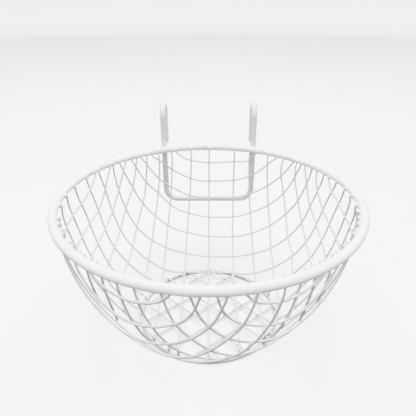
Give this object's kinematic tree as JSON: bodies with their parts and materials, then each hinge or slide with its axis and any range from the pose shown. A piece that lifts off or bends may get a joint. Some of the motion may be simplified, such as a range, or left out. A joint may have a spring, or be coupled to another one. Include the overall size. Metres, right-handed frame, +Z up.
{
  "type": "hanging wire feeder basket",
  "caption": "Round wire bowl for feeding hay or greens to rabbits: fine welded mesh on a heavy rim ring and foot ring, with a bent wire frame that hooks over a cage wall.",
  "frame": {"origin": "on the surface it stands on, below the middle of the whole object's box", "axes": "+Z up; +Y from the feeding side to the hooks; +X to the right when seen from the feeding side"},
  "size_m": [0.1524, 0.1641, 0.1016],
  "materials": {
    "rim_coat": "semi-gloss white powder coat",
    "foot_coat": "semi-gloss white powder coat",
    "hook_coat": "semi-gloss white powder coat",
    "mesh_coat": "semi-gloss white powder coat"
  },
  "bodies": {
    "root": {"back_wire_1": "mesh_coat", "back_wire_2": "mesh_coat", "back_wire_3": "mesh_coat", "back_wire_4": "mesh_coat", "back_wire_5": "mesh_coat", "back_wire_6": "mesh_coat", "back_wire_7": "mesh_coat", "floor_a_wire_1": "mesh_coat", "floor_a_wire_2": "mesh_coat", "floor_a_wire_3": "mesh_coat", "floor_a_wire_4": "mesh_coat", "floor_a_wire_5": "mesh_coat", "floor_b_wire_1": "mesh_coat", "floor_b_wire_2": "mesh_coat", "floor_b_wire_3": "mesh_coat", "floor_b_wire_4": "mesh_coat", "floor_b_wire_5": "mesh_coat", "foot_ring": "foot_coat", "front_left_wire_1": "mesh_coat", "front_left_wire_2": "mesh_coat", "front_left_wire_3": "mesh_coat", "front_left_wire_4": "mesh_coat", "front_left_wire_5": "mesh_coat", "front_right_wire_1": "mesh_coat", "front_right_wire_2": "mesh_coat", "front_right_wire_3": "mesh_coat", "front_right_wire_4": "mesh_coat", "front_right_wire_5": "mesh_coat", "hook_frame": "hook_coat", "left_side_wire_1": "mesh_coat", "left_side_wire_2": "mesh_coat", "left_side_wire_3": "mesh_coat", "left_side_wire_4": "mesh_coat", "left_side_wire_5": "mesh_coat", "left_side_wire_6": "mesh_coat", "left_wall_wire_1": "mesh_coat", "left_wall_wire_2": "mesh_coat", "left_wall_wire_3": "mesh_coat", "left_wall_wire_4": "mesh_coat", "right_side_wire_1": "mesh_coat", "right_side_wire_2": "mesh_coat", "right_side_wire_3": "mesh_coat", "right_side_wire_4": "mesh_coat", "right_side_wire_5": "mesh_coat", "right_side_wire_6": "mesh_coat", "right_wall_wire_1": "mesh_coat", "right_wall_wire_2": "mesh_coat", "right_wall_wire_3": "mesh_coat", "right_wall_wire_4": "mesh_coat", "rim_ring": "rim_coat", "spine_wire_1": "mesh_coat", "spine_wire_2": "mesh_coat", "spine_wire_3": "mesh_coat", "spine_wire_4": "mesh_coat", "spine_wire_5": "mesh_coat"}
  },
  "joints": []
}
